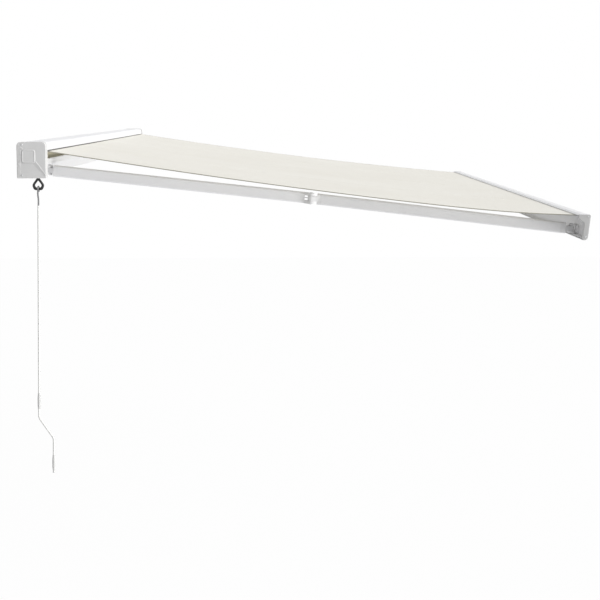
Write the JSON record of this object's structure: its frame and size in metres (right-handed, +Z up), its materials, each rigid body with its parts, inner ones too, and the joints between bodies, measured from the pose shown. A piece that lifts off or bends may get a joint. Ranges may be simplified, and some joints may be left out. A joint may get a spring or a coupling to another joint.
{
  "type": "folding-arm canvas awning",
  "caption": "Wall-mounted folding-arm awning in a case, with a canvas cover, a front bar and a hanging hand crank; shown opened.",
  "frame": {"origin": "on the wall plane, middle of the centre wall bracket's back face", "axes": "+X along the width to the right-hand end, +Y into the wall, +Z up"},
  "size_m": [4, 2.999, 1.7612],
  "materials": {
    "powder_coat": "white powder coat, satin",
    "cast_parts": "light grey powder coat on castings",
    "end_caps": "light grey powder coat, satin",
    "steel": "zinc plated",
    "grey_plastic": "moulded, satin",
    "black_eye": "black, satin",
    "crank_white": "white paint",
    "grip_plastic": "light grey moulded",
    "cover_fabric": "cream woven acrylic canvas"
  },
  "bodies": {
    "case": {"cassette_hood": "powder_coat", "cassette_base": "powder_coat", "end_cap_left": "end_caps", "cap_screw_left_1": "steel", "cap_screw_left_2": "steel", "end_cap_right": "end_caps", "cap_screw_right_1": "steel", "cap_screw_right_2": "steel", "wall_bracket_left": "cast_parts", "bracket_screw_left": "steel", "wall_bracket_centre": "cast_parts", "bracket_screw_centre": "steel", "wall_bracket_right": "cast_parts", "bracket_screw_right": "steel", "gear_housing": "grey_plastic", "idler_bearing": "grey_plastic", "shoulder_bracket_left": "cast_parts", "shoulder_pin_left": "steel", "shoulder_bracket_right": "cast_parts", "shoulder_pin_right": "steel", "canopy_cover": "cover_fabric"},
    "roller": {"roller_tube": "steel", "fabric_roll": "cover_fabric", "roller_plug_left": "grey_plastic", "roller_plug_right": "grey_plastic", "worm_wheel": "grey_plastic"},
    "worm_shaft": {"gear_eye": "black_eye"},
    "crank": {"crank_hook": "steel", "crank_tube": "crank_white", "crank_end_plug": "grip_plastic"},
    "upper_grip": {"crank_grip_upper": "grip_plastic"},
    "lower_grip": {"crank_grip_lower": "grip_plastic"},
    "left_upper_arm": {"shoulder_knuckle_left": "cast_parts", "upper_arm_left": "powder_coat", "elbow_fork_left": "cast_parts", "elbow_pin_left": "steel", "arm_spring_left": "steel", "elbow_cable_left": "steel"},
    "left_forearm": {"elbow_tongue_left": "cast_parts", "forearm_left": "powder_coat", "wrist_knuckle_left": "cast_parts"},
    "right_upper_arm": {"shoulder_knuckle_right": "cast_parts", "upper_arm_right": "powder_coat", "elbow_fork_right": "cast_parts", "elbow_pin_right": "steel", "arm_spring_right": "steel", "elbow_cable_right": "steel"},
    "right_forearm": {"elbow_tongue_right": "cast_parts", "forearm_right": "powder_coat", "wrist_knuckle_right": "cast_parts"},
    "front_bar": {"bar_cap_left": "end_caps", "wrist_bracket_left": "cast_parts", "wrist_pin_left": "steel", "bar_cap_right": "end_caps", "wrist_bracket_right": "cast_parts", "wrist_pin_right": "steel", "front_bar_profile": "powder_coat", "keder_rod": "grey_plastic"}
  },
  "joints": [
    {"name": "left_shoulder", "type": "hinge", "parent": "case", "child": "left_upper_arm", "pos_m": [-1.775, -0.114, -0.043], "axis": [0, -0.1132, 0.9936], "range_deg": [0, 86.45], "deforming": ["canopy_cover"]},
    {"name": "left_elbow", "type": "hinge", "parent": "left_upper_arm", "child": "left_forearm", "pos_m": [-1.72151, -1.53481, -0.20488], "axis": [0, -0.1132, 0.9936], "range_deg": [-172.9, 0]},
    {"name": "left_wrist", "type": "hinge", "parent": "left_forearm", "child": "front_bar", "pos_m": [-1.775, -2.95562, -0.36676], "axis": [0, -0.1132, 0.9936], "range_deg": [0, 86.45]},
    {"name": "right_shoulder", "type": "hinge", "parent": "case", "child": "right_upper_arm", "pos_m": [1.775, -0.114, -0.043], "axis": [0, -0.1132, 0.9936], "range_deg": [-86.45, 0]},
    {"name": "right_elbow", "type": "hinge", "parent": "right_upper_arm", "child": "right_forearm", "pos_m": [1.72151, -1.53481, -0.20488], "axis": [0, -0.1132, 0.9936], "range_deg": [0, 172.9]},
    {"name": "roller_spin", "type": "hinge", "parent": "case", "child": "roller", "pos_m": [0, -0.064, 0.034], "axis": [1, 0, 0], "continuous": true},
    {"name": "gear_eye_spin", "type": "hinge", "parent": "case", "child": "worm_shaft", "pos_m": [-1.973, -0.107, -0.1], "axis": [0, 0, 1], "continuous": true},
    {"name": "crank_swing", "type": "hinge", "parent": "worm_shaft", "child": "crank", "pos_m": [-1.973, -0.107, -0.1325], "axis": [0, 1, 0], "range_deg": [-50, 50]},
    {"name": "upper_grip_spin", "type": "hinge", "parent": "crank", "child": "upper_grip", "pos_m": [-1.973, -0.08736, -1.2588], "axis": [0, -0.0175, 0.9998], "continuous": true},
    {"name": "lower_grip_spin", "type": "hinge", "parent": "crank", "child": "lower_grip", "pos_m": [-1.973, -0.15852, -1.5941], "axis": [0, -0.0175, 0.9998], "continuous": true}
  ],
  "couplings": [
    {"joint": "left_elbow", "follows": "left_shoulder", "ratio": -2},
    {"joint": "left_wrist", "follows": "left_shoulder", "ratio": 1},
    {"joint": "right_shoulder", "follows": "left_shoulder", "ratio": -1},
    {"joint": "right_elbow", "follows": "left_shoulder", "ratio": 2},
    {"joint": "gear_eye_spin", "follows": "roller_spin", "ratio": 11}
  ]
}
